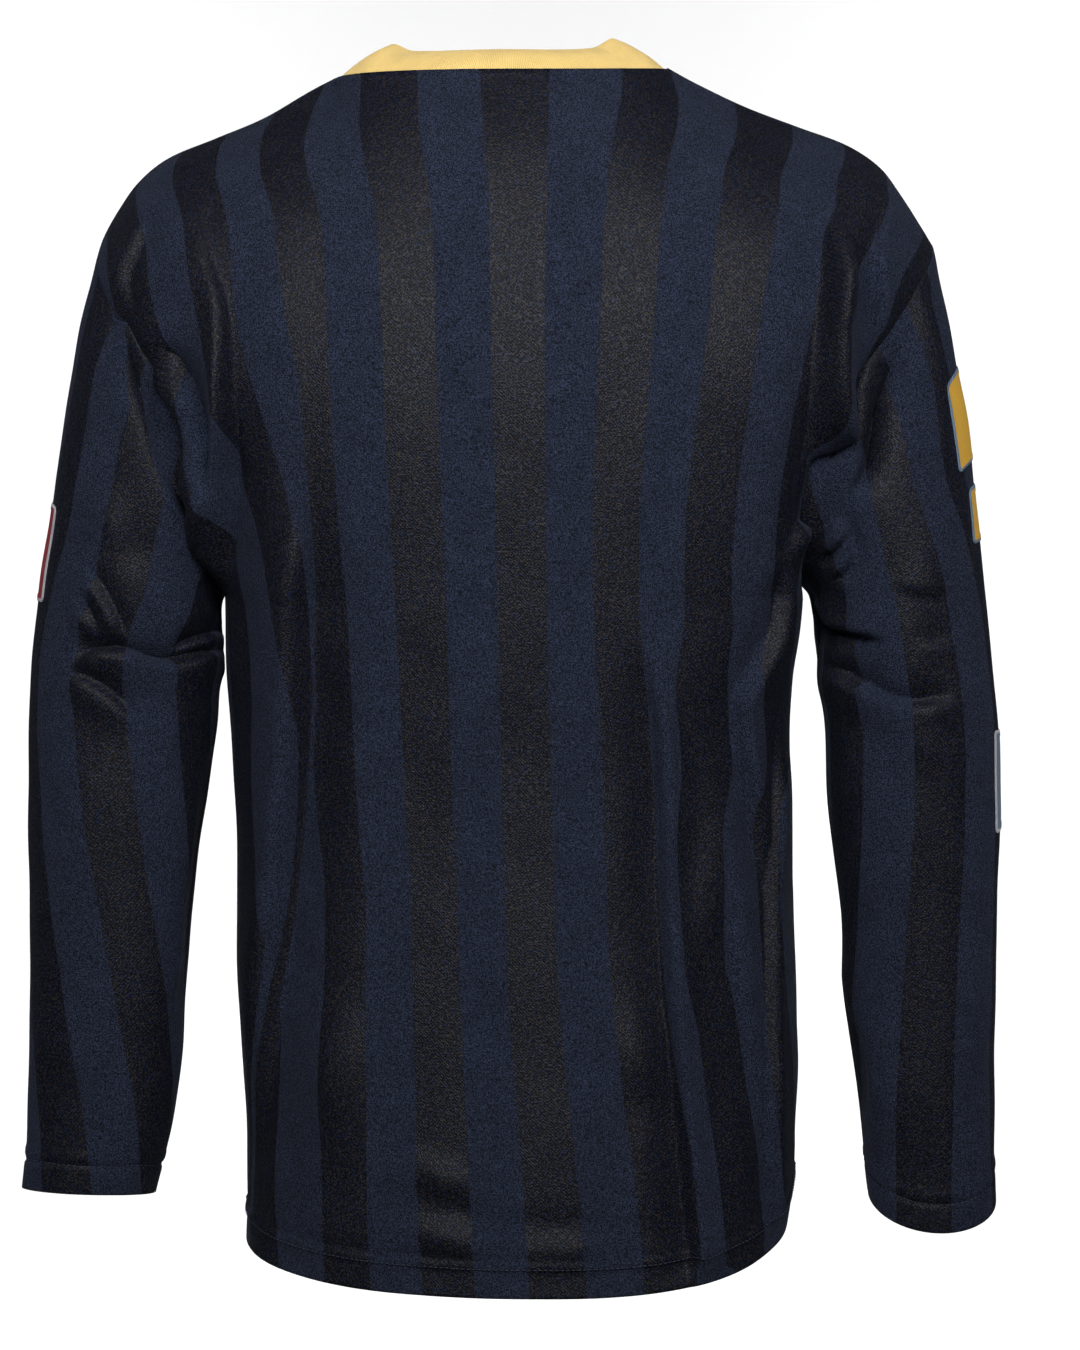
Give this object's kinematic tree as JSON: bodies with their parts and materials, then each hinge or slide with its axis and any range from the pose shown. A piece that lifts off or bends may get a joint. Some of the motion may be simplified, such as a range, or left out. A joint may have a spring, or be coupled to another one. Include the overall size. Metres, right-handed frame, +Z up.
{
  "type": "long-sleeved sports jersey",
  "caption": "Long-sleeved pullover sports jersey, hollow as worn, with tonal vertical stripes, a flat-knit collar and open neck, hem and cuffs.",
  "frame": {"origin": "midway between the two shoulder points of the neckline, where the wearer's shoulders hold the jersey", "axes": "+Z up, -Y the way the wearer faces, +X towards the wearer's left"},
  "size_m": [0.6056, 0.252, 0.7491],
  "materials": {
    "striped_knit": "matte, with alternate stripes faintly shiny",
    "collar_knit": "matte flat knit",
    "red_twill": "matte",
    "gold_twill": "matte",
    "slate_twill": "matte"
  },
  "bodies": {
    "root": {"back_panel": "striped_knit", "front_panel": "striped_knit", "left_sleeve": "striped_knit", "right_sleeve": "striped_knit", "collar": "collar_knit", "left_sleeve_patch": "red_twill", "right_sleeve_bar_1": "gold_twill", "right_sleeve_bar_2": "gold_twill", "right_sleeve_bar_3": "slate_twill"}
  },
  "joints": []
}
